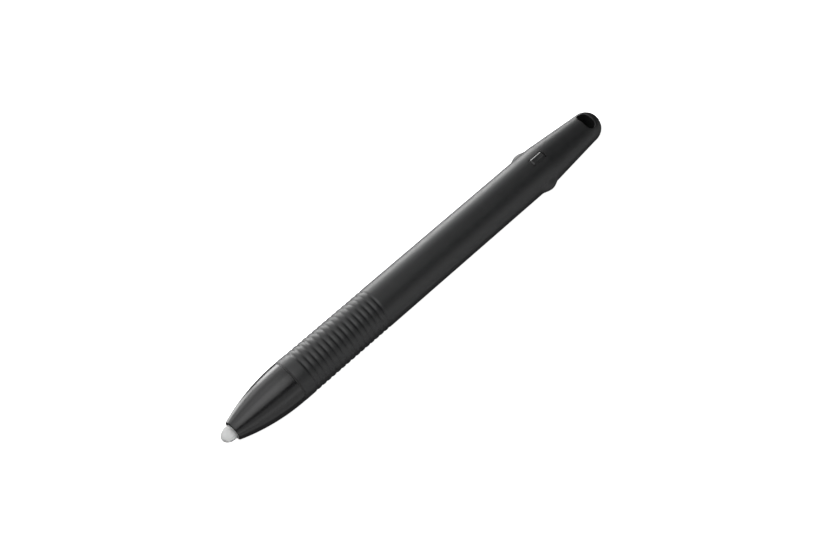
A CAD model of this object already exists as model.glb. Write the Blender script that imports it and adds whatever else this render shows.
import math

import bmesh
import bpy
from mathutils import Matrix, Vector


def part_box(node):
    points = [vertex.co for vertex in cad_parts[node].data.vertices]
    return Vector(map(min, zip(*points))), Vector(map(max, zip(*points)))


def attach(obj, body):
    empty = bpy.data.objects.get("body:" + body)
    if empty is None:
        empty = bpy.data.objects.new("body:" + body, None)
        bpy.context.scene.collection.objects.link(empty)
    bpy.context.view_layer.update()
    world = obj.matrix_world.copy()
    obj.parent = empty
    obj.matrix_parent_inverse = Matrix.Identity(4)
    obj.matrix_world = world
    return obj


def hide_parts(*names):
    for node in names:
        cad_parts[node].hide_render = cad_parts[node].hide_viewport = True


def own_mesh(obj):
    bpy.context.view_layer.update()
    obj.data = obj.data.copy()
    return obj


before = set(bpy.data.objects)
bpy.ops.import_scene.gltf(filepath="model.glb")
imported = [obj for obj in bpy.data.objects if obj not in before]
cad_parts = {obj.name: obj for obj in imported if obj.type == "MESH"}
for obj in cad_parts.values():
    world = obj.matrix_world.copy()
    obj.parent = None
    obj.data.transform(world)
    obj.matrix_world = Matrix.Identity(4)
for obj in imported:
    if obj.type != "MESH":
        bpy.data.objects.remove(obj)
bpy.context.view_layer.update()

# ---- where the pen lies in the frame
# Lengths below are millimetres. "Along" is the distance behind the nib's tip, and heights
# and radii count from the pen's axis.
MM = 0.001
NIB_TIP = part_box("nib")[0].x
NOSE_LOW, NOSE_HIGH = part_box("nose_cone")
AXIS_HEIGHT = (NOSE_LOW.z + NOSE_HIGH.z) / 2
PEN_LENGTH = (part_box("barrel")[1].x - NIB_TIP) / MM
MIDDLE = 53.5  # the place along the pen that the camera and the lights aim at

OUTER_ROUND = 144  # sides of the outer pieces
INNER_ROUND = 72
CAD_INNER_SIDES = 16  # sides of the round inner nodes


def place(along, y, z):
    """A point in the frame, in metres."""
    return Vector((NIB_TIP + along * MM, y * MM, AXIS_HEIGHT + z * MM))


def extent(node):
    """Where a round inner node starts and ends along the pen, and its radius."""
    low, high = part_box(node)
    radius = (high.z - low.z) / 2 / math.cos(math.pi / CAD_INNER_SIDES)
    return (low.x - NIB_TIP) / MM, (high.x - NIB_TIP) / MM, radius / MM


# ---- mesh helpers
SMOOTH_ANGLE = math.radians(38)


def new_object(name, data):
    obj = bpy.data.objects.new(name, data)
    bpy.context.scene.collection.objects.link(obj)
    return obj


def shade_smooth(mesh):
    mesh.polygons.foreach_set("use_smooth", [True] * len(mesh.polygons))
    mesh.set_sharp_from_angle(angle=SMOOTH_ANGLE)


def mesh_object(name, verts, faces):
    """An object from points in metres, with its faces pointing out."""
    mesh = bpy.data.meshes.new(name)
    mesh.from_pydata([tuple(v) for v in verts], [], faces)
    bm = bmesh.new()
    bm.from_mesh(mesh)
    bmesh.ops.recalc_face_normals(bm, faces=bm.faces)
    bm.to_mesh(mesh)
    bm.free()
    shade_smooth(mesh)
    return new_object(name, mesh)


def skin(rings, closed):
    """Points and faces through rings of points. A ring of one point is a pole."""
    verts, rows = [], []
    for ring in rings:
        rows.append(range(len(verts), len(verts) + len(ring)))
        verts += ring
    pairs = list(zip(rows, rows[1:]))
    if closed:
        pairs.append((rows[-1], rows[0]))
    faces = []
    for a, b in pairs:
        sides = max(len(a), len(b))
        for i in range(sides):
            j = (i + 1) % sides
            if len(a) == 1 and len(b) > 1:
                faces.append((a[0], b[j], b[i]))
            elif len(b) == 1 and len(a) > 1:
                faces.append((a[i], a[j], b[0]))
            elif len(a) > 1:
                faces.append((a[i], a[j], b[j], b[i]))
    return verts, faces


def turned(name, outline, sides=INNER_ROUND, radius_at=None):
    """An outline of (along, radius) points turned about the axis.

    radius_at(along, radius, angle) may reshape a ring. Angle 0 is +Y and 90 degrees is up.
    """
    rings = []
    for along, radius in outline:
        if radius == 0:
            rings.append([place(along, 0, 0)])
            continue
        ring = []
        for i in range(sides):
            angle = math.tau * i / sides
            r = radius_at(along, radius, angle) if radius_at else radius
            ring.append(place(along, r * math.cos(angle), r * math.sin(angle)))
        rings.append(ring)
    closed = outline[0][1] != 0 or outline[-1][1] != 0
    return mesh_object(name, *skin(rings, closed))


CORNER_STEPS = 4
CORNER_SHARE = 0.45  # the most of a side that one rounded corner may take


def softened(outline, rounding, closed=True):
    """An outline with each corner that is off the axis rounded. An open one keeps its ends."""
    points = []
    for i, corner in enumerate(outline):
        if corner[1] == 0 or (not closed and i in (0, len(outline) - 1)):
            points.append(corner)
            continue
        middle = Vector(corner)
        back = Vector(outline[i - 1]) - middle
        ahead = Vector(outline[(i + 1) % len(outline)]) - middle
        cut = min(rounding, CORNER_SHARE * back.length, CORNER_SHARE * ahead.length)
        start = middle + back.normalized() * cut
        end = middle + ahead.normalized() * cut
        for k in range(CORNER_STEPS + 1):
            t = k / CORNER_STEPS
            points.append(tuple((1 - t) ** 2 * start + 2 * t * (1 - t) * middle + t * t * end))
    return points


def arc(along, radius, r, start, end, steps):
    """Points of a round stretch of an outline. Angles in degrees, 0 along +X, 90 outwards."""
    points = []
    for i in range(steps + 1):
        angle = math.radians(start + (end - start) * i / steps)
        points.append((along + r * math.cos(angle), radius + r * math.sin(angle)))
    return points


def span(start, end, step):
    """Numbers from start to end, as near to a step apart as comes out even."""
    count = max(1, round((end - start) / step))
    return [start + (end - start) * i / count for i in range(count + 1)]


def loft(name, loops):
    """A closed solid through loops of points with the same count, capped at both ends."""
    count = len(loops[0])
    verts, faces = skin(loops, False)
    faces.append(tuple(range(count)))
    faces.append(tuple(range(len(verts) - count, len(verts))))
    return mesh_object(name, verts, faces)


SAME_POINT = 0.0001  # points closer than this are one point


def merge_close_points(mesh):
    """Makes one point of those that a cut leaves on top of each other."""
    bm = bmesh.new()
    bm.from_mesh(mesh)
    bmesh.ops.remove_doubles(bm, verts=bm.verts, dist=SAME_POINT * MM)
    bm.to_mesh(mesh)
    bm.free()


def apply_modifiers(obj):
    bpy.context.view_layer.update()
    evaluated = obj.evaluated_get(bpy.context.evaluated_depsgraph_get())
    mesh = bpy.data.meshes.new_from_object(evaluated)
    merge_close_points(mesh)
    obj.modifiers.clear()
    obj.data = mesh
    shade_smooth(mesh)


BEVEL_ANGLE = math.radians(30)  # edges sharper than this are rounded


def beveled(obj, width, segments=2):
    modifier = obj.modifiers.new("edges", "BEVEL")
    modifier.width = width * MM
    modifier.segments = segments
    modifier.limit_method = "ANGLE"
    modifier.angle_limit = BEVEL_ANGLE
    apply_modifiers(obj)
    return obj


def combine(obj, other, operation="DIFFERENCE"):
    """Cuts the other solid from obj, or joins it on, and removes the other."""
    modifier = obj.modifiers.new("combine", "BOOLEAN")
    modifier.object = other
    modifier.operation = operation
    modifier.solver = "EXACT"
    apply_modifiers(obj)
    bpy.data.objects.remove(other)


def gathered(name, parts):
    """One object out of separate solids."""
    bm = bmesh.new()
    for part in parts:
        bm.from_mesh(part.data)
        bpy.data.objects.remove(part)
    mesh = bpy.data.meshes.new(name)
    bm.to_mesh(mesh)
    bm.free()
    shade_smooth(mesh)
    return new_object(name, mesh)


def slab(name, outline, along, left, low, high):
    """A flat piece between two heights. Its outline is (x, y, ...) about a place."""
    levels = [[place(along + p[0], left + p[1], z) for p in outline] for z in (low, high)]
    return loft(name, levels)


def block(name, along, left, height, edge=0.0):
    """A block from its limits on each axis, with round edges."""
    (start, end), (right, far_left), (low, high) = along, left, height
    outline = [(start, right), (end, right), (end, far_left), (start, far_left)]
    obj = slab(name, outline, 0, 0, low, high)
    return beveled(obj, edge) if edge else obj


def tube(name, points, radius, sides=10):
    """A round wire through points in metres."""
    last = len(points) - 1
    side = (points[1] - points[0]).orthogonal()
    loops = []
    for i, point in enumerate(points):
        direction = (points[min(i + 1, last)] - points[max(i - 1, 0)]).normalized()
        side = (side - direction * side.dot(direction)).normalized()
        up = direction.cross(side)
        angles = [math.tau * k / sides for k in range(sides)]
        loops.append([point + (side * math.cos(a) + up * math.sin(a)) * radius * MM for a in angles])
    return loft(name, loops)


def curve_through(points, steps=6):
    """Points of a smooth curve through the given ones (Catmull-Rom)."""
    ends = [2 * points[0] - points[1], *points, 2 * points[-1] - points[-2]]
    path = []
    for a, b, c, d in zip(ends, ends[1:], ends[2:], ends[3:]):
        for k in range(steps):
            t = k / steps
            bent = (2 * a - 5 * b + 4 * c - d) * t * t + (3 * b - a - 3 * c + d) * t ** 3
            path.append(0.5 * (2 * b + (c - a) * t + bent))
    path.append(points[-1])
    return path


def ribbon(name, corners, in_plane, out_of_plane, lay, bend=0.35):
    """A strip along corners in a plane, with round bends.

    It is `in_plane` thick in that plane and `out_of_plane` across it. lay(u, v, w) places a
    point, where u and v are its coordinates in the plane and w is its distance out of it.
    """
    line = [Vector(p) for p in softened(corners, bend, closed=False)]
    loops = []
    for i, point in enumerate(line):
        direction = (line[min(i + 1, len(line) - 1)] - line[max(i - 1, 0)]).normalized()
        normal = Vector((-direction.y, direction.x)) * in_plane / 2
        section = ((point + normal, -1), (point + normal, 1), (point - normal, 1), (point - normal, -1))
        loops.append([lay(p.x, p.y, w * out_of_plane / 2) for p, w in section])
    return loft(name, loops)


# ---- materials
LOW, HIGH = 0.3, 0.7  # a procedural pattern lies mostly between these
FINISHES = {}  # the materials by name


class Finish:
    """A Principled material, listed in FINISHES, with helpers for its procedural detail."""

    def __init__(self, name, color, roughness, **sockets):
        self.material = FINISHES[name] = bpy.data.materials.new(name)
        self.material.use_nodes = True
        self.nodes = self.material.node_tree.nodes
        self.links = self.material.node_tree.links
        self.shader = self.nodes["Principled BSDF"]
        for socket, value in {"Base_Color": (*color, 1), "Roughness": roughness, **sockets}.items():
            self.shader.inputs[socket.replace("_", " ")].default_value = value
        self.coordinates = self.nodes.new("ShaderNodeTexCoord").outputs["Object"]

    def stretched(self, scale):
        """The object's coordinates, scaled by a different amount on each axis."""
        mapping = self.nodes.new("ShaderNodeMapping")
        mapping.inputs["Scale"].default_value = scale
        self.links.new(self.coordinates, mapping.inputs["Vector"])
        return mapping.outputs["Vector"]

    def noise(self, size, detail=3.0, stretch=None):
        """Noise whose features are about `size` millimetres across."""
        texture = self.nodes.new("ShaderNodeTexNoise")
        texture.inputs["Scale"].default_value = 1 / (size * MM)
        texture.inputs["Detail"].default_value = detail
        vector = self.stretched(stretch) if stretch else self.coordinates
        self.links.new(vector, texture.inputs["Vector"])
        return texture.outputs["Fac"]

    def varied_roughness(self, value, low, high):
        node = self.nodes.new("ShaderNodeMapRange")
        for socket, number in (("From Min", LOW), ("From Max", HIGH), ("To Min", low), ("To Max", high)):
            node.inputs[socket].default_value = number
        self.links.new(value, node.inputs["Value"])
        self.links.new(node.outputs["Result"], self.shader.inputs["Roughness"])

    def two_colors(self, value, first, second):
        ramp = self.nodes.new("ShaderNodeValToRGB")
        ramp.color_ramp.elements[0].position = LOW
        ramp.color_ramp.elements[0].color = (*first, 1)
        ramp.color_ramp.elements[1].position = HIGH
        ramp.color_ramp.elements[1].color = (*second, 1)
        self.links.new(value, ramp.inputs["Fac"])
        self.links.new(ramp.outputs["Color"], self.shader.inputs["Base Color"])

    def bumped(self, value, depth, strength):
        """Raises the surface by up to `depth` millimetres, on top of any earlier bump."""
        bump = self.nodes.new("ShaderNodeBump")
        bump.inputs["Distance"].default_value = depth * MM
        bump.inputs["Strength"].default_value = strength
        self.links.new(value, bump.inputs["Height"])
        normal = self.shader.inputs["Normal"]
        if normal.is_linked:
            self.links.new(normal.links[0].from_socket, bump.inputs["Normal"])
        self.links.new(bump.outputs["Normal"], normal)


def barrel_plastic():
    """Satin moulded black, with a fine spark-eroded grain."""
    finish = Finish("barrel_plastic", (0.012, 0.0125, 0.013), 0.42)
    finish.two_colors(finish.noise(2.2), (0.0105, 0.011, 0.0115), (0.0135, 0.014, 0.0145))
    finish.varied_roughness(finish.noise(1.1, 4), 0.39, 0.46)
    finish.bumped(finish.noise(0.12, 2), 0.004, 0.5)
    finish.bumped(finish.noise(14, 1), 0.02, 0.4)


def nose_plastic():
    """Polished black, with the faint haze and hairlines of handling."""
    finish = Finish("nose_plastic", (0.009, 0.009, 0.0095), 0.22)
    finish.two_colors(finish.noise(3), (0.008, 0.008, 0.0085), (0.0105, 0.0105, 0.011))
    finish.varied_roughness(finish.noise(0.8, 6), 0.19, 0.27)
    finish.bumped(finish.noise(0.25, 2, stretch=(0.15, 1, 1)), 0.001, 0.4)


def nib_plastic():
    """Translucent light grey, dulled by writing."""
    finish = Finish(
        "nib_plastic", (0.66, 0.665, 0.66), 0.55,
        Subsurface_Weight=1.0, Subsurface_Scale=0.006, Subsurface_Radius=(1.0, 0.97, 0.94),
        Transmission_Weight=0.5, IOR=1.3,
    )
    finish.two_colors(finish.noise(0.7, 4), (0.63, 0.635, 0.63), (0.69, 0.695, 0.69))
    finish.varied_roughness(finish.noise(0.4, 3), 0.48, 0.64)
    finish.bumped(finish.noise(0.16, 3), 0.006, 0.6)


def moulded(name, first, second, roughness, grain, depth, **sockets):
    """A surface clouded between two colours, with its grain in millimetres."""
    finish = Finish(name, first, roughness, **sockets)
    finish.two_colors(finish.noise(8 * grain, 4), first, second)
    finish.varied_roughness(finish.noise(3 * grain, 3), roughness - 0.07, roughness + 0.07)
    finish.bumped(finish.noise(grain, 3), depth, 0.6)


def rolled_metal(name, first, second, roughness, stretch):
    """Sheet or drawn metal, with streaks along the way it was drawn."""
    finish = Finish(name, first, roughness, Metallic=1.0)
    finish.two_colors(finish.noise(1.5, 4), first, second)
    streaks = finish.noise(0.2, 3, stretch=stretch)
    finish.varied_roughness(streaks, roughness - 0.08, roughness + 0.1)
    finish.bumped(streaks, 0.003, 0.4)


def amber_film():
    """Polyimide film, faintly wrinkled where it was wrapped."""
    finish = Finish("film", (0.58, 0.3, 0.05), 0.25, Coat_Weight=0.4)
    finish.two_colors(finish.noise(2.5, 2), (0.5, 0.24, 0.03), (0.64, 0.36, 0.08))
    finish.varied_roughness(finish.noise(0.9, 3), 0.2, 0.34)
    finish.bumped(finish.noise(1.1, 2, stretch=(0.3, 1, 1)), 0.02, 0.5)


def solder_mask():
    """Green lacquer over woven glass, whose two directions show through."""
    finish = Finish("board", (0.012, 0.12, 0.05), 0.35, Coat_Weight=0.3)
    finish.two_colors(finish.noise(3, 4), (0.009, 0.1, 0.04), (0.015, 0.14, 0.06))
    finish.varied_roughness(finish.noise(0.6, 3), 0.3, 0.42)
    finish.bumped(finish.noise(0.18, 1, stretch=(0.2, 1, 1)), 0.006, 0.5)
    finish.bumped(finish.noise(0.18, 1, stretch=(1, 0.2, 1)), 0.006, 0.5)


def closed_cell_foam():
    finish = Finish("foam", (0.02, 0.02, 0.02), 0.92)
    finish.two_colors(finish.noise(0.5, 2), (0.012, 0.012, 0.012), (0.032, 0.032, 0.033))
    cells = finish.nodes.new("ShaderNodeTexVoronoi")
    cells.inputs["Scale"].default_value = 1 / (0.3 * MM)
    finish.links.new(finish.coordinates, cells.inputs["Vector"])
    finish.varied_roughness(cells.outputs["Distance"], 0.85, 0.97)
    finish.bumped(cells.outputs["Distance"], 0.08, 0.8)


ALONG = (0.1, 1, 1)  # streaks run along the pen
NO_WAY = (1, 1, 1)  # no direction of its own
MOULDED = {
    "seal_rubber": ((0.013, 0.013, 0.013), (0.018, 0.018, 0.018), 0.6, 0.09, 0.004),
    "grey_plastic": ((0.08, 0.09, 0.095), (0.1, 0.11, 0.115), 0.5, 0.12, 0.006),
    "chassis_plastic": ((0.012, 0.0125, 0.013), (0.017, 0.0175, 0.018), 0.34, 0.14, 0.004),
    "ferrite": ((0.028, 0.025, 0.024), (0.045, 0.041, 0.038), 0.62, 0.06, 0.006),
    "ceramic": ((0.76, 0.71, 0.58), (0.84, 0.8, 0.68), 0.4, 0.08, 0.004),
    "chip_black": ((0.012, 0.012, 0.013), (0.018, 0.018, 0.019), 0.55, 0.05, 0.005),
    "chip_ceramic": ((0.33, 0.22, 0.12), (0.4, 0.28, 0.16), 0.4, 0.06, 0.003),
}
for slot, measures in MOULDED.items():
    moulded(slot, *measures)
moulded(
    "silicone", (0.56, 0.55, 0.5), (0.62, 0.61, 0.57), 0.55, 0.3, 0.01,
    Subsurface_Weight=0.5, Subsurface_Scale=0.0008,
)
moulded(
    "natural_plastic", (0.72, 0.69, 0.6), (0.8, 0.77, 0.69), 0.45, 0.15, 0.006,
    Subsurface_Weight=0.2, Subsurface_Scale=0.0005,
)
rolled_metal("copper_wire", (0.62, 0.25, 0.11), (0.7, 0.31, 0.15), 0.28, NO_WAY)
rolled_metal("bronze", (0.58, 0.41, 0.18), (0.66, 0.5, 0.25), 0.28, ALONG)
barrel_plastic()
nose_plastic()
nib_plastic()
amber_film()
solder_mask()
closed_cell_foam()


def piece(obj, node, slot, body="barrel"):
    """Gives a detailed piece its body, the CAD node it stands for and its finish."""
    obj.data.materials.clear()
    obj.data.materials.append(FINISHES[slot])
    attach(obj, body)
    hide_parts(node)
    return obj


# ---- thread between the nose cone and the barrel
THREAD_PITCH = 0.75
THREAD_HEIGHT = 0.1
THREAD_FADE = 0.5  # the thread runs out over this length at each end
THREAD_STEP = THREAD_PITCH / 12


def thread(along, angle, start, end):
    """How far a right-hand thread stands above its mean radius."""
    if not start < along < end:
        return 0.0
    fade = min(1.0, (along - start) / THREAD_FADE, (end - along) / THREAD_FADE)
    return THREAD_HEIGHT * fade * math.cos(math.tau * along / THREAD_PITCH - angle)


# ---- barrel
BARREL_START = 18.55
BARREL_RADIUS = 5.0
FRONT_EDGE = 0.03  # rounding of the barrel's front edge
RIB_FIRST = 21.66
RIB_PITCH = 1.375
RIB_COUNT = 16
RIB_DEPTH = 0.15
RIB_SHARPNESS = 2.0  # above 1 the grooves are narrower than the ribs
RIB_STEP = RIB_PITCH / 12
PLAIN_STEP = 3
PLAIN_MARGIN = 1.5  # from the ribs and the bumps to the plain cylinder's points
EAR_CENTRE = 92.7
EAR_HALF_LENGTH = 3.2
EAR_HALF_ANGLE = math.radians(24)
EAR_HEIGHT = 0.9
TAPER_START = 95.0
TAPER_BEND = 1.0  # half the length of the soft bend where the taper starts
TAPER_STEP = 0.2
TAIL_RADIUS = 3.7
OUTSIDE_RADIUS = 4.5  # near the bumps, only the outside is wider than this
MOUTH_RADIUS = 4.07
MOUTH_END = 23.6
MOUTH_CHAMFER = 0.4
MOUTH_RIM = 0.35  # how much wider the mouth is at its very front
MOUTH_SLOPE = 0.3  # length of the step from the mouth down to the bore
MOUTH_RUN_OUT = 0.2  # plain length behind the thread
BORE_RADIUS = 3.7
BORE_END = 98.0
BORE_CHAMFER = 0.2
POCKET_RADIUS = 3.1
POCKET_END = 103.0
POCKET_EDGE = 0.3
SLOT_CENTRE = 109.95
SLOT_WIDTH = 2.5
SLOT_SPAN = 4.7
SLOT_CORNER = SLOT_WIDTH / 2 - 0.02
SLOT_EDGE = 0.22  # rounding of its rim
WINDOW_CENTRE = 93.25
WINDOW_LENGTH = 4.0
WINDOW_WIDTH = 2.0
WINDOW_CORNER = 0.15
WINDOW_EDGE = 0.05
WINDOW_FLOOR = 3.0  # the window is cut down to this height, inside the bore


def rib_cut(along):
    """How deep the ring grooves are at a place: narrow grooves between rounded ribs."""
    last = RIB_FIRST + (RIB_COUNT - 1) * RIB_PITCH
    if not RIB_FIRST - RIB_PITCH / 2 < along < last + RIB_PITCH / 2:
        return 0.0
    wave = 0.5 + 0.5 * math.cos(math.tau * (along - RIB_FIRST) / RIB_PITCH)
    return RIB_DEPTH * wave ** RIB_SHARPNESS


def body_radius(along):
    """The barrel's outer radius behind the ribs: cylinder, soft bend, taper, round end."""
    centre = PEN_LENGTH - TAIL_RADIUS
    if along > centre:
        return math.sqrt(max(0.0, TAIL_RADIUS ** 2 - (along - centre) ** 2))
    slope = (BARREL_RADIUS - TAIL_RADIUS) / (centre - TAPER_START)
    past = along - TAPER_START
    if past < -TAPER_BEND:
        return BARREL_RADIUS
    if past < TAPER_BEND:
        return BARREL_RADIUS - slope * (past + TAPER_BEND) ** 2 / (4 * TAPER_BEND)
    return BARREL_RADIUS - slope * past


def hill(distance):
    """A smooth hill: 1 in the middle, 0 from distance 1 on, level at both."""
    return (1 - distance ** 2) ** 2 if distance < 1 else 0.0


def ear_rise(along, angle):
    """How far the two bumps stand out, one on each side of the pen."""
    rise = 0.0
    for middle in (0.0, math.pi):
        turn = (angle - middle + math.pi) % math.tau - math.pi
        distance = math.hypot((along - EAR_CENTRE) / EAR_HALF_LENGTH, turn / EAR_HALF_ANGLE)
        rise += EAR_HEIGHT * hill(distance)
    return rise


def barrel_outline():
    ribs_start = RIB_FIRST - RIB_PITCH / 2
    ribs_end = RIB_FIRST + (RIB_COUNT - 0.5) * RIB_PITCH
    ears_start = EAR_CENTRE - EAR_HALF_LENGTH
    centre = PEN_LENGTH - TAIL_RADIUS
    outline = arc(BARREL_START + FRONT_EDGE, BARREL_RADIUS - FRONT_EDGE, FRONT_EDGE, 180, 90, 5)
    outline += [(p, BARREL_RADIUS - rib_cut(p)) for p in span(ribs_start, ribs_end, RIB_STEP)]
    plain = span(ribs_end + PLAIN_MARGIN, ears_start - PLAIN_MARGIN, PLAIN_STEP)
    outline += [(p, BARREL_RADIUS) for p in plain]
    outline += [(p, body_radius(p)) for p in span(ears_start, centre - TAPER_STEP / 2, TAPER_STEP)]
    outline += arc(centre, 0, TAIL_RADIUS, 89, 3, 26)
    outline.append((PEN_LENGTH, 0))
    pocket = [(POCKET_END, 0), (POCKET_END, POCKET_RADIUS), (BORE_END, POCKET_RADIUS)]
    outline += softened(pocket, POCKET_EDGE)
    outline += [(BORE_END, BORE_RADIUS - BORE_CHAMFER), (BORE_END - BORE_CHAMFER, BORE_RADIUS)]
    outline += [(MOUTH_END + MOUTH_SLOPE, BORE_RADIUS), (MOUTH_END, MOUTH_RADIUS)]
    threaded = span(BARREL_START + MOUTH_CHAMFER, MOUTH_END - MOUTH_RUN_OUT / 2, THREAD_STEP)
    outline += [(p, MOUTH_RADIUS) for p in reversed(threaded)]
    outline.append((BARREL_START, MOUTH_RADIUS + MOUTH_RIM))
    return outline


def barrel_shape(along, radius, angle):
    """The mouth has the thread, and the outside has the bumps."""
    if radius == MOUTH_RADIUS:
        return radius + thread(along, angle, BARREL_START + MOUTH_CHAMFER, MOUTH_END - MOUTH_RUN_OUT)
    return radius + ear_rise(along, angle) if radius > OUTSIDE_RADIUS else radius


def rounded_rectangle(length, width, corner, step=0.15):
    """(x, y, direction x, direction y) round a rectangle; the direction points out of it."""
    points = []
    x, y = length / 2 - corner, width / 2 - corner
    corners = ((x, y, 0), (-x, y, 90), (-x, -y, 180), (x, -y, 270))
    arc_steps = 8
    for i, (cx, cy, start) in enumerate(corners):
        for k in range(arc_steps + 1):
            angle = math.radians(start + 90 * k / arc_steps)
            points.append((cx + corner * math.cos(angle), cy + corner * math.sin(angle),
                           math.cos(angle), math.sin(angle)))
        dx, dy = points[-1][2], points[-1][3]
        nx, ny, turn = corners[(i + 1) % 4]
        angle = math.radians(turn)
        begin = Vector(points[-1][:2])
        finish = Vector((nx + corner * math.cos(angle), ny + corner * math.sin(angle)))
        count = int((finish - begin).length / step)
        for k in range(1, count):
            where = begin.lerp(finish, k / count)
            points.append((where.x, where.y, dx, dy))
    return points


def grown(outline, centre, offset, height):
    """Points at one height round an outline about a place, grown by an offset."""
    return [place(centre + x + dx * offset, y + dy * offset, height) for x, y, dx, dy in outline]


RIM_ANGLES = (0, 20, 40, 58, 74)  # degrees round a hole's rim, from its wall outwards
CUTTER_SPREAD = 1.4  # times the rounding
CUTTER_LIFT = 0.4
CUTTER_REACH = 7


def hole_cutter(outline, centre, flare, through):
    """Cuts a hole down into the barrel, its rim rounded by `flare` where it meets the surface."""
    above = []
    for degrees in RIM_ANGLES:
        angle = math.radians(degrees)
        above.append((flare * (1 - math.cos(angle)), -flare * (1 - math.sin(angle))))
    above.append((CUTTER_SPREAD * flare, CUTTER_LIFT))

    def loop(offset, lift, side):
        points = []
        for x, y, dx, dy in outline:
            along, across = centre + x + dx * offset, y + dy * offset
            surface = math.sqrt(body_radius(along) ** 2 - across ** 2)
            points.append(place(along, across, side * (surface + lift)))
        return points

    top = [loop(offset, lift, 1) for offset, lift in above]
    top.append(grown(outline, centre, CUTTER_SPREAD * flare, CUTTER_REACH))
    if not through:
        return loft("cutter", [grown(outline, centre, 0, WINDOW_FLOOR)] + top)
    bottom = [grown(outline, centre, CUTTER_SPREAD * flare, -CUTTER_REACH)]
    bottom += [loop(offset, lift, -1) for offset, lift in reversed(above)]
    return loft("cutter", bottom + top)


def barrel_shell():
    shell = turned("barrel_shell", barrel_outline(), OUTER_ROUND, barrel_shape)
    slot = rounded_rectangle(SLOT_WIDTH, SLOT_SPAN, SLOT_CORNER)
    combine(shell, hole_cutter(slot, SLOT_CENTRE, SLOT_EDGE, True))
    window = rounded_rectangle(WINDOW_LENGTH, WINDOW_WIDTH, WINDOW_CORNER)
    combine(shell, hole_cutter(window, WINDOW_CENTRE, WINDOW_EDGE, False))
    return shell


piece(barrel_shell(), "barrel", "barrel_plastic")

# ---- nose cone
NOSE_FRONT = 2.8
NOSE_END = 18.2
NOSE_ARC_RADIUS = 45.0
NOSE_REAR_RADIUS = 4.97
LIP = 0.225  # half the thickness of the rounded front rim
HOLE_RADIUS = 1.86
REAR_EDGE = 0.03
OGIVE_STEP = 0.35
OGIVE_MARGIN = 0.1
SPIGOT_RADIUS = 3.93
SPIGOT_END = 23.2
SPIGOT_FOOT = 0.1  # chamfer where the spigot meets the shoulder
SPIGOT_RIM = 0.25  # how much narrower the spigot's end is
SPIGOT_CHAMFER = 0.3
SPIGOT_MARGIN = 0.2
THREAD_START = 0.6  # from the shoulder


def ogive_radius(along):
    behind = NOSE_END - along
    return NOSE_REAR_RADIUS - (NOSE_ARC_RADIUS - math.sqrt(NOSE_ARC_RADIUS ** 2 - behind ** 2))


def nose_shell():
    """Ogive, threaded spigot, and a bore that narrows to the seat of the nib's bush."""
    lip_middle = NOSE_FRONT + LIP
    outline = arc(lip_middle, HOLE_RADIUS + LIP, LIP, 270, 110, 10)
    ogive = span(lip_middle + OGIVE_MARGIN, NOSE_END - REAR_EDGE - OGIVE_MARGIN, OGIVE_STEP)
    outline += [(p, ogive_radius(p)) for p in ogive]
    outline += arc(NOSE_END - REAR_EDGE, NOSE_REAR_RADIUS - REAR_EDGE, REAR_EDGE, 90, 0, 5)
    outline += [(NOSE_END, SPIGOT_RADIUS + SPIGOT_FOOT), (NOSE_END + SPIGOT_FOOT, SPIGOT_RADIUS)]
    threaded = span(NOSE_END + SPIGOT_MARGIN, SPIGOT_END - SPIGOT_CHAMFER, THREAD_STEP)
    outline += [(p, SPIGOT_RADIUS) for p in threaded]
    outline += [(SPIGOT_END, SPIGOT_RADIUS - SPIGOT_RIM)]
    cone_end, seat_end, seat_start = 10.5, 7.8, 5.6
    bore, cone_radius, seat = 3.25, 2.8, 2.35
    outline += softened([
        (SPIGOT_END, bore), (cone_end, bore), (seat_end, cone_radius), (seat_end, seat),
        (seat_start, seat), (seat_start, HOLE_RADIUS),
    ], 0.12)

    def shape(along, radius, angle):
        if radius != SPIGOT_RADIUS:
            return radius
        return radius + thread(along, angle, NOSE_END + THREAD_START, SPIGOT_END - SPIGOT_MARGIN)

    return turned("nose_shell", outline, OUTER_ROUND, shape)


piece(nose_shell(), "nose_cone", "nose_plastic", "nose")

# ---- nib and seal
NIB_RADIUS = 1.65
NIB_BULLET = 2.2  # length of its rounded end
NIB_HEAD_END = 7.0
SHANK_RADIUS = 0.95
SHANK_END = 28.6
NIB_EDGE = 0.18


def nib_body():
    outline = [(0, 0)]
    steps = 24
    for i in range(1, steps + 1):
        angle = (i / steps) * (math.pi / 2)
        outline.append((NIB_BULLET * (1 - math.cos(angle)), NIB_RADIUS * math.sin(angle)))
    outline += softened([
        (NIB_HEAD_END, NIB_RADIUS), (NIB_HEAD_END, SHANK_RADIUS), (SHANK_END, SHANK_RADIUS), (SHANK_END, 0),
    ], NIB_EDGE)
    return turned("nib_body", outline)


piece(nib_body(), "nib", "nib_plastic", "writing_tip")


SEAL_START = 18.225
SEAL_END = 18.525
SEAL_HOLE = 4.05
SEAL_EDGE = 0.03


def ring_outline(start, end, inner, outer):
    return [(start, inner), (start, outer), (end, outer), (end, inner)]


def seal_body():
    outline = ring_outline(SEAL_START, SEAL_END, SEAL_HOLE, NOSE_REAR_RADIUS)
    return turned("seal_ring", softened(outline, SEAL_EDGE), OUTER_ROUND)


piece(seal_body(), "nose_seal", "seal_rubber", "seal_ring")


# ---- coil and what holds it
def bush(name, node, inner, rounding):
    """A ring or tube with round edges, as long and as wide as its node."""
    start, end, outer = extent(node)
    return turned(name, softened(ring_outline(start, end, inner, outer), rounding))


WIRE = 0.17
TURN_PITCH = 0.36
TURN_STEPS = 20


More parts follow.
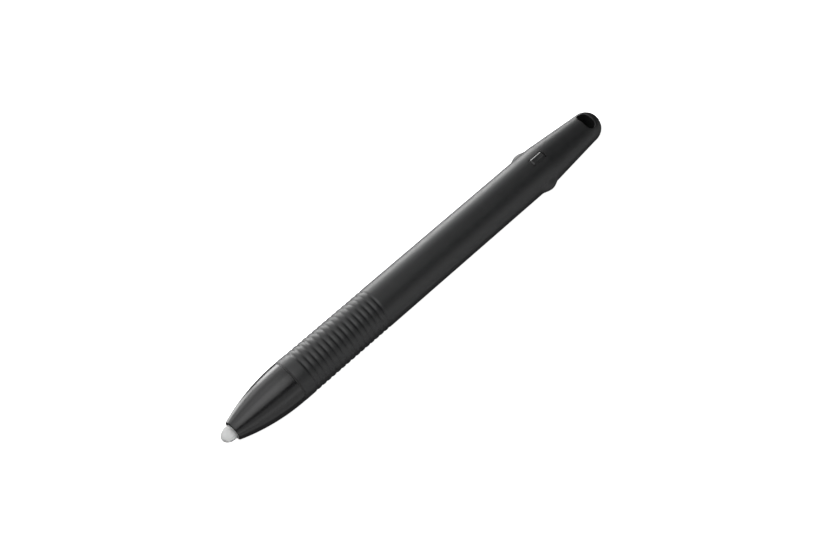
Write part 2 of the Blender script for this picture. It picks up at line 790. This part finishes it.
def coil_turns():
    """One wire wound in two layers, forward on the core and back on top of itself."""
    start, end, outer = extent("coil_winding")
    turns = math.floor((end - start - 2 * WIRE) / TURN_PITCH)
    upper = outer - WIRE
    lower = upper - 2 * WIRE
    points = []
    for i in range(2 * turns * TURN_STEPS + 1):
        turn = i / TURN_STEPS
        along = end - WIRE - TURN_PITCH * (turns - abs(turns - turn))
        climb = min(1.0, max(0.0, turn - turns + 0.5))
        radius = lower + (upper - lower) * climb
        angle = math.tau * turn
        points.append(place(along, radius * math.cos(angle), radius * math.sin(angle)))
    return tube("coil_turns", points, WIRE, 8)


FILM_INNER = 2.82
LAP = 0.07  # how far the film's free edge stands over its start


def film_wrap():
    start, end, outer = extent("coil_sleeve")

    def lapped(along, radius, angle):
        return radius - LAP * (1 - angle / math.tau) if radius == outer else radius

    return turned("film_wrap", ring_outline(start, end, FILM_INNER, outer), OUTER_ROUND, lapped)


piece(bush("nib_bush", "nib_guide", inner=1.75, rounding=0.15), "nib_guide", "natural_plastic", "nose")
piece(bush("front_cushion", "nose_damper", inner=1.2, rounding=0.35), "nose_damper", "silicone")
piece(bush("core_tube", "ferrite_core", inner=1.1, rounding=0.12), "ferrite_core", "ferrite")
piece(coil_turns(), "coil_winding", "copper_wire")
piece(film_wrap(), "coil_sleeve", "film")
piece(bush("rear_cushion", "core_cushion", inner=1.2, rounding=0.3), "core_cushion", "silicone")

# ---- force sensor
SHEET = 0.15  # thickness of the terminals' metal
LEG_WIDTH = 0.8
BOARD_TOP = (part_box("circuit_board")[1].z - AXIS_HEIGHT) / MM
SOLDER = 0.05  # height of the solder under a leg
LEG_LANDING = BOARD_TOP + SOLDER + SHEET / 2


SENSOR_EDGE = 0.12  # rounding of the housing's and the plunger's edges


def housing_shell():
    start, end, outer = extent("sensor_housing")
    floor, shoulder, groove_start, groove_end = 23.6, 24.7, 29.6, 30.4
    hole, neck, groove, bore, floor_radius = 1.2, 2.6, 2.95, 2.5, 1.9
    return turned("housing_shell", softened([
        (start, hole), (start, neck), (shoulder, neck), (shoulder, outer), (groove_start, outer),
        (groove_start, groove), (groove_end, groove), (groove_end, outer), (end, outer), (end, bore),
        (shoulder, bore), (floor, floor_radius), (floor, hole),
    ], SENSOR_EDGE))


def holder_collet():
    """The plunger, its front slit in four so that it grips the nib."""
    start, end, flange = extent("nib_holder")
    slit_end, socket_end, flange_start = 27.6, 28.7, 29.2
    socket, plunger = 1.02, 1.8
    holder = turned("holder_collet", softened([
        (start, socket), (start, plunger), (flange_start, plunger), (flange_start, flange),
        (end, flange), (end, 0), (socket_end, 0), (socket_end, socket),
    ], SENSOR_EDGE))
    slit, across = (-0.12, 0.12), (-3, 3)
    combine(holder, block("slit", (start - 1, slit_end), slit, across))
    combine(holder, block("slit", (start - 1, slit_end), across, slit))
    return holder


def rubber_dome():
    start, crown, radius = extent("rubber_electrode")
    rim = start + 0.6
    foot_share = 0.96  # the dome's foot is a little narrower than the rim
    edge = 0.1
    steps = 16
    dome = []
    for i in range(steps):
        share = foot_share * (1 - i / steps)
        dome.append((rim + (crown - rim) * (1 - share ** 2), radius * share))
    outline = softened([(start, 0), (start, radius), (rim, radius), dome[0]], edge, closed=False)
    return turned("rubber_dome", outline + dome[1:] + [(crown, 0)])


def round_disc(name, node, rounding):
    start, end, radius = extent(node)
    return turned(name, softened(ring_outline(start, end, 0, radius), rounding))


def upright(along, height, left):
    return place(along, left, height)


def front_strip():
    """A strip from the rubber's rim over the sensor and down onto the board."""
    foot, over = 1.9, 2.26 + SHEET / 2
    start, down, landed, end = 31.05 + SHEET / 2, 38, 42.42, 43.4
    corners = [(start, foot), (start, over), (down, over), (landed, LEG_LANDING), (end, LEG_LANDING)]
    return ribbon("front_strip", corners, SHEET, LEG_WIDTH, upright)


def rear_strip():
    """A round plate behind the ceramic, with a leg down onto the board."""
    front, back, radius, edge = 32.8, 32.95, 1.6, 0.04
    plate = turned("rear_strip", softened(ring_outline(front, back, 0, radius), edge))
    leg = 0.5 + SHEET / 2
    start, down, landed, end = 32.87, 37.55, 39.35, 41
    corners = [(start, leg), (down, leg), (landed, LEG_LANDING), (end, LEG_LANDING)]
    combine(plate, ribbon("leg", corners, SHEET, LEG_WIDTH, upright), "UNION")
    return plate


def housing_plug():
    start, end, _ = extent("sensor_plug")
    plug = round_disc("housing_plug", "sensor_plug", 0.2)
    front_leg_way, rear_leg_way, sides = (2.1, 3.0), (0.35, 0.85), (-0.6, 0.6)
    for heights in (front_leg_way, rear_leg_way):
        combine(plug, block("slot", (start - 1, end + 1), sides, heights))
    return plug


piece(housing_shell(), "sensor_housing", "grey_plastic")
piece(holder_collet(), "nib_holder", "natural_plastic", "writing_tip")
dome = piece(rubber_dome(), "rubber_electrode", "seal_rubber")
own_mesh(dome)
piece(bush("gap_ring", "spacer_ring", inner=1.6, rounding=0.05), "spacer_ring", "film")
piece(round_disc("ceramic_plate", "ceramic_disc", 0.1), "ceramic_disc", "ceramic")
piece(front_strip(), "front_terminal", "bronze")
piece(rear_strip(), "rear_terminal", "bronze")
piece(housing_plug(), "sensor_plug", "natural_plastic")

# ---- chassis
FAR = 9  # further out than the chassis reaches
TROUGH_EDGE = 0.08
RELIEFS = 4
RELIEF_FIRST = 44.5
RELIEF_PITCH = 12
LATCH_FOOT = 3.1  # height of its lower end, inside the tongue
LATCH_GAP = 0.07  # between the latch and the window that it fills
LATCH_SLOPE = 0.4  # width of the slope round its top
LATCH_SHOULDER = 0.27  # height of that slope
LATCH_DIP = 0.17  # depth of the dip in its top
LATCH_DIP_PLACE = 0.75  # how far behind the window's centre the dip is deepest
LATCH_CORNER = 0.04  # corner radius of its top
LATCH_RIM = 0.04  # flat left round the dip
LATCH_EDGE = 0.03


def chassis_frame():
    """A trough for the board, with slots in its floor, and a gap behind it for the latch's tongue."""
    start, end, _ = extent("chassis")
    frame_body = round_disc("chassis_frame", "chassis", 0.3)
    opening_end, opening_floor = 86, 0.3
    combine(frame_body, block("opening", (start - 1, opening_end), (-FAR, FAR), (opening_floor, FAR)))
    front, back, radius = 37.8, 85.2, 2.7
    combine(frame_body, turned("trough", ring_outline(front, back, 0, radius)))
    gap_start, gap_sides, gap_floor = 88, (-1.25, 1.25), 1.4
    combine(frame_body, block("tongue_gap", (gap_start, end + 1), gap_sides, (gap_floor, FAR)))
    relief = rounded_rectangle(length=8, width=1.6, corner=0.78)
    for i in range(RELIEFS):
        along = RELIEF_FIRST + RELIEF_PITCH * i
        combine(frame_body, slab("relief", relief, along, left=0, low=-5, high=-1))
    beveled(frame_body, TROUGH_EDGE, 1)
    tongue = block("tongue", along=(87, 96.4), left=(-0.9, 0.9), height=(2.5, 3.3), edge=0.15)
    combine(tongue, latch_block(), "UNION")
    combine(frame_body, tongue, "UNION")
    return frame_body


def latch_block():
    """The latch that shows in the barrel's window: a slope round its top, and a dip for a nail."""
    top = (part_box("chassis")[1].z - AXIS_HEIGHT) / MM
    length, width = WINDOW_LENGTH - 2 * LATCH_GAP, WINDOW_WIDTH - 2 * LATCH_GAP
    outline = rounded_rectangle(length, width, LATCH_SLOPE + LATCH_CORNER)
    levels = ((0, LATCH_FOOT), (0, top - LATCH_SHOULDER), (-LATCH_SLOPE, top))
    latch = loft("latch", [grown(outline, WINDOW_CENTRE, *level) for level in levels])
    margin = LATCH_GAP + LATCH_SLOPE + LATCH_RIM
    end, side = WINDOW_LENGTH / 2 - margin, WINDOW_WIDTH / 2 - margin
    dip = ((-end, 1), (-end, 0), (LATCH_DIP_PLACE, -LATCH_DIP), (end, 0), (end, 1))
    sides = [[place(WINDOW_CENTRE + x, y, top + z) for x, z in dip] for y in (-side, side)]
    combine(latch, loft("dip", sides))
    return beveled(latch, LATCH_EDGE)


piece(chassis_frame(), "chassis", "chassis_plastic")


# ---- board and components
FOIL = 0.035
COARSE = 5  # spacing of the points on straight sides that need none
BOARD_CORNER = 0.6
BOARD_EDGE = 0.05
NOTCH_PLACES = 56, 80
NOTCH_SIDES = -3.1, 3.1


def board_plate():
    low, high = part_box("circuit_board")
    start, end = (low.x - NIB_TIP) / MM, (high.x - NIB_TIP) / MM
    outline = rounded_rectangle(end - start, (high.y - low.y) / MM, BOARD_CORNER, COARSE)
    plate = slab("board_plate", outline, (start + end) / 2, 0, (low.z - AXIS_HEIGHT) / MM, BOARD_TOP)
    notch = rounded_rectangle(length=1.2, width=1.2, corner=0.59)
    for along in NOTCH_PLACES:
        for side in NOTCH_SIDES:
            combine(plate, slab("notch", notch, along, side, low=0, high=2))
    return beveled(plate, BOARD_EDGE, 1)


def on_foil(along, left, rise):
    return place(along, left, BOARD_TOP + FOIL / 2 + rise)


TRACK_WIDTH = 0.22
TRACK_BEND = 0.3
PAD_CORNER = 0.08


def track(corners, side=1):
    """A copper track through (along, left) corners, mirrored to the pen's right if side is -1."""
    points = [(along, side * left) for along, left in corners]
    return ribbon("track", points, TRACK_WIDTH, FOIL, on_foil, TRACK_BEND)


def pad(along, left, length, width):
    outline = rounded_rectangle(length, width, PAD_CORNER, COARSE)
    return slab("pad", outline, along, left, BOARD_TOP, BOARD_TOP + FOIL)


CAPACITORS = [f"chip_capacitor_{i + 1}" for i in range(5)]
CAPACITOR_PAD = 0.7, 1.0  # length and width
CAPACITOR_PAD_PLACE = 0.7  # from the capacitor's middle
LEG_PADS = (40.7, 0, 1.0, 1.2), (43, 0, 0.9, 1.2), (42.4, 2.25, 1.6, 0.7), (42.4, -2.25, 1.6, 0.7)
TRIMMER_PADS = (69.2, 0, 0.8, 1.6), (72.8, 0, 0.8, 1.6)
SIDE_TRACKS = (
    ((43.2, 2.25), (45, 2.25), (45.95, 1.3)),
    ((48.05, 1.3), (49.3, 1.3), (49.9, 0.6)),
    ((54.1, 1.0), (56, 1.0), (57, 1.9), (67, 1.9), (68.8, 0.6)),
)
MIDDLE_TRACKS = (
    ((54.1, 0), (58.95, 0)),
    ((61.05, 0), (62.45, 0)),
    ((64.55, 0), (68.8, 0)),
    ((73.2, 0), (74.2, 0), (75.3, 1.1)),
    ((77, 1.2), (79, 1.2), (80.5, 0), (83.5, 0)),
)


def middle_of(node):
    """A node's (along, left) middle, its (length, width) and its (low, high) heights."""
    low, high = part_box(node)
    middle = ((low.x + high.x) / 2 - NIB_TIP) / MM, (low.y + high.y) / 2 / MM
    size = (high.x - low.x) / MM, (high.y - low.y) / MM
    return middle, size, ((low.z - AXIS_HEIGHT) / MM, (high.z - AXIS_HEIGHT) / MM)


def board_tracks():
    parts = [pad(*measures) for measures in LEG_PADS]
    for node in CAPACITORS:
        (along, left), _, _ = middle_of(node)
        for offset in (-CAPACITOR_PAD_PLACE, CAPACITOR_PAD_PLACE):
            parts.append(pad(along + offset, left, *CAPACITOR_PAD))
    parts += [pad(*measures) for measures in TRIMMER_PADS]
    for side in (-1, 1):
        parts += [track(corners, side) for corners in SIDE_TRACKS]
    parts += [track(corners) for corners in MIDDLE_TRACKS]
    return gathered("board_tracks", parts)


CHIP_STANDOFF = 0.12
CHIP_WIDTH = 3.0  # at its middle
CHIP_FACE = 2.86  # width of its top and bottom
CHIP_CORNER = 0.08
MARK_PLACE = 1  # from the chip's middle, on both axes
MARK_DEPTH = 0.05


def chip_package():
    """A square package with sloping sides and a round mark in one corner."""
    (along, left), _, (_, high) = middle_of("control_chip")
    low = BOARD_TOP + CHIP_STANDOFF
    levels = ((low, CHIP_FACE), ((low + high) / 2, CHIP_WIDTH), (high, CHIP_FACE))
    loops = []
    for z, width in levels:
        outline = rounded_rectangle(width, width, CHIP_CORNER, COARSE)
        loops.append([place(along + p[0], left + p[1], z) for p in outline])
    package = loft("chip_package", loops)
    mark = rounded_rectangle(length=0.4, width=0.4, corner=0.19)
    corner = along - MARK_PLACE, left - MARK_PLACE
    combine(package, slab("mark", mark, *corner, high - MARK_DEPTH, high + 1))
    return package


CHIP_LEADS = 7  # on each side
CHIP_LEAD_PITCH = 0.4


def chip_leads():
    (along, left), (length, _), (low, high) = middle_of("control_chip")
    thickness, width, rounding = 0.08, 0.2, 0.08
    shoulder, foot = (low + high) / 2, low + thickness / 2
    root, bend, landed = 1.4, 1.62, 1.76
    corners = [(root, shoulder), (bend, shoulder), (landed, foot), (length / 2, foot)]
    leads = []
    for quarter in range(4):
        turn = Matrix.Rotation(quarter * math.pi / 2, 2)
        for i in range(CHIP_LEADS):
            offset = (i - (CHIP_LEADS - 1) / 2) * CHIP_LEAD_PITCH

            def lay(out, height, across):
                spot = turn @ Vector((out, offset + across))
                return place(along + spot.x, left + spot.y, height)

            leads.append(ribbon("lead", corners, thickness, width, lay, rounding))
    return gathered("chip_leads", leads)


def trimmer_parts():
    """The trimmer's ceramic base, and its rotor with a slot for the tuning tool."""
    (along, left), (length, width), (low, high) = middle_of("trimmer_capacitor")
    base_top, rotor_foot, rotor_width = low + 0.7, low + 0.72, 2.2
    outline = rounded_rectangle(length, width, corner=0.3, step=COARSE)
    base = beveled(slab("trimmer_base", outline, along, left, low, base_top), 0.06)
    outline = rounded_rectangle(rotor_width, rotor_width, corner=1.08)
    rotor = beveled(slab("trimmer_rotor", outline, along, left, rotor_foot, high), 0.08)
    slot_reach, slot_depth = 0.9, 0.25
    slot = along - slot_reach, along + slot_reach
    combine(rotor, block("slot", slot, (-0.17, 0.17), (high - slot_depth, high + 1)))
    return base, rotor


def capacitor_parts(node):
    """A chip capacitor's body and its two soldered ends."""
    (along, left), (length, width), (low, high) = middle_of(node)
    front, rear = along - length / 2, along + length / 2
    right, far_left = left - width / 2, left + width / 2
    end, wall = 0.36, 0.03

    def core(name, inset, edge=0.0):
        limits = front + inset, rear - inset
        return block(name, limits, (right + wall, far_left - wall), (low + wall, high - wall), edge)

    body = core(node + "_body", 0.1, 0.04)
    caps = []
    for start in (front, rear - end):
        cap = block("cap", (start, start + end), (right, far_left), (low, high), 0.07)
        combine(cap, core("hollow", 0.09))
        caps.append(cap)
    return body, gathered(node + "_ends", caps)


LEAD_RADIUS = 0.14
LEAD_TILT = math.radians(20)
LEAD_RUN = (
    (19.7, 2.53), (20.3, 2.5), (20.9, 2.53), (21.9, 2.85), (23.2, 2.87), (24.2, 3.12), (25.2, 3.35),
    (30, 3.37), (36, 3.37),
)
LEAD_DROP = (39, 2.95, 1.5), (41.6, 2.3, 1.4), (43, 2.2, 1.38)


def lead(name, side):
    """A wire along (along, radius) points at a fixed tilt, then along (along, left, height) points."""
    points = []
    for along, radius in LEAD_RUN:
        points.append(place(along, side * radius * math.cos(LEAD_TILT), radius * math.sin(LEAD_TILT)))
    points += [place(along, side * left, height) for along, left, height in LEAD_DROP]
    return tube(name, curve_through(points), LEAD_RADIUS)


piece(board_plate(), "circuit_board", "board")
piece(board_tracks(), "circuit_board", "bronze")
piece(chip_package(), "control_chip", "chip_black")
piece(chip_leads(), "control_chip", "bronze")
trimmer_base, trimmer_rotor = trimmer_parts()
piece(trimmer_base, "trimmer_capacitor", "ceramic")
piece(trimmer_rotor, "trimmer_capacitor", "bronze")
for node in CAPACITORS:
    body, ends = capacitor_parts(node)
    piece(body, node, "chip_ceramic")
    piece(ends, node, "bronze")
piece(lead("lead_left", 1), "lead_wire_left", "copper_wire")
piece(lead("lead_right", -1), "lead_wire_right", "copper_wire")
piece(round_disc("rear_foam", "rear_damper", 0.4), "rear_damper", "foam")

# ---- camera
SENSOR = 36.0
LENS = 54.76
CAMERA_DISTANCE = 271.0
AZIMUTH = math.radians(-44.76)
ELEVATION = math.radians(60)
SHIFT_RIGHT = 0.27
SHIFT_UP = 0.615
CLIP_START = 0.01  # metres
CLIP_END = 20  # metres


def add_camera():
    back = Vector((
        math.sin(AZIMUTH) * math.cos(ELEVATION),
        -math.cos(AZIMUTH) * math.cos(ELEVATION),
        math.sin(ELEVATION),
    ))
    right = Vector((math.cos(AZIMUTH), math.sin(AZIMUTH), 0))
    up = back.cross(right)
    data = bpy.data.cameras.new("camera")
    data.sensor_width = SENSOR
    data.lens = LENS
    data.clip_start = CLIP_START
    data.clip_end = CLIP_END
    camera = new_object("camera", data)
    turn = Matrix((right, up, back)).transposed().to_4x4()
    offset = back * CAMERA_DISTANCE + right * SHIFT_RIGHT + up * SHIFT_UP
    camera.matrix_world = Matrix.Translation(place(MIDDLE, 0, 0) + offset * MM) @ turn
    bpy.context.scene.camera = camera


add_camera()

# ---- floor and light
# Lengths in this section are metres.
ROOM = 4.0
BACKDROP_DEPTH = 0.001
SHOWN_DEPTH = 0.00006
MIRRORED_DEPTH = 0.00005
SHADOW_EDGE = -0.011
BOUNCE_EDGE = 0.0
FLOOR_ROUGHNESS = 0.9


def floor_material(name, grey, emission):
    white = (1, 1, 1, 1)
    glow = {"Emission_Color": white, "Emission_Strength": emission}
    return Finish(name, (grey, grey, grey), FLOOR_ROUGHNESS, **glow).material


def stage_piece(name, corners, faces, material):
    mesh = bpy.data.meshes.new(name)
    mesh.from_pydata(corners, [], faces)
    mesh.materials.append(material)
    obj = new_object(name, mesh)
    return obj


def add_floor(name, depth, right_edge, left_edge, material):
    """A flat piece of floor between two edges along the pen, `depth` under it."""
    edges = ((-ROOM, right_edge), (ROOM, right_edge), (ROOM, left_edge), (-ROOM, left_edge))
    return stage_piece(name, [(x, y, -depth) for x, y in edges], [(0, 1, 2, 3)], material)


def add_backdrop(name, material):
    """Four walls and a ceiling, far behind everything."""
    plan = ((-ROOM, -ROOM), (ROOM, -ROOM), (ROOM, ROOM), (-ROOM, ROOM))
    corners = [(x, y, z) for z in (-BACKDROP_DEPTH, ROOM) for x, y in plan]
    walls = [(i, (i + 1) % 4, (i + 1) % 4 + 4, i + 4) for i in range(4)]
    return stage_piece(name, corners, [*walls, (4, 5, 6, 7)], material)


# The floor and the backdrop that the camera sees glow evenly. The floor that the pen mirrors
# is pale, but dark close to the pen, where its shadow falls. It ends under the pen's axis,
# because a low soft light takes its place on the left.
shown_white = floor_material("shown_white", 0.9, 1.0)
shown_floor = add_floor("floor", SHOWN_DEPTH, -ROOM, ROOM, shown_white)
for shown in (shown_floor, add_backdrop("backdrop", shown_white)):
    shown.visible_glossy = False
    shown.visible_diffuse = False
    shown.visible_shadow = False
pale = floor_material("floor_pale", 0.8, 0.0)
shadowed = floor_material("floor_shadowed", 0.12, 0.0)
add_floor("floor_bounce", MIRRORED_DEPTH, -ROOM, SHADOW_EDGE, pale).visible_camera = False
add_floor("floor_shadow", MIRRORED_DEPTH, SHADOW_EDGE, BOUNCE_EDGE, shadowed).visible_camera = False


LIGHT_DISTANCE = 0.6
WORLD_LIGHT = 0.02


def add_softbox(name, around, spread, start, end, brightness):
    """A soft light with its long side along the pen, from `start` to `end` metres past the middle.

    `around` is its direction in degrees round the axis, 0 towards +Y and 90 up, and it fills
    `spread` degrees to each side of that.
    """
    data = bpy.data.lights.new(name, "AREA")
    data.shape = "RECTANGLE"
    data.size = end - start
    data.size_y = 2 * LIGHT_DISTANCE * math.tan(math.radians(spread))
    data.energy = brightness * math.pi * data.size * data.size_y
    light = new_object(name, data)
    angle = math.radians(around)
    back = Vector((0, math.cos(angle), math.sin(angle)))
    right = Vector((1, 0, 0))
    turn = Matrix((right, back.cross(right), back)).transposed().to_4x4()
    middle = place(MIDDLE, 0, 0) + back * LIGHT_DISTANCE + right * (start + end) / 2
    light.matrix_world = Matrix.Translation(middle) @ turn
    light.visible_camera = False


SOFTBOXES = {
    "key_low": (-6, 12, 0.0, 0.5, 7.8),
    "key_front": (-18, 18, -0.25, -0.01, 4.3),
    "key_soft": (18, 12, -0.3, 0.4, 2.2),
    "fill_left": (42, 12, -0.5, 0.5, 1.1),
    "overhead": (86, 33, -0.6, 0.1, 1.5),
    "overhead_streak": (91, 14, -0.35, 0.08, 0.8),
    "overhead_rear": (84, 30, 0.1, 0.3, 0.44),
    "overhead_tail": (84, 30, 0.3, 0.7, 0.05),
    "overhead_far": (84, 30, 0.75, 1.3, 0.3),
    "fill_right": (150, 12, -0.8, 0.5, 0.6),
    "low_right": (174, 12, -0.8, 0.5, 1.05),
}
for name, measures in SOFTBOXES.items():
    add_softbox(name, *measures)

world = bpy.data.worlds.new("studio")
bpy.context.scene.world = world
world.use_nodes = True
background = world.node_tree.nodes["Background"]
background.inputs["Color"].default_value = (1, 1, 1, 1)
background.inputs["Strength"].default_value = WORLD_LIGHT
bpy.context.scene.view_settings.view_transform = "Standard"
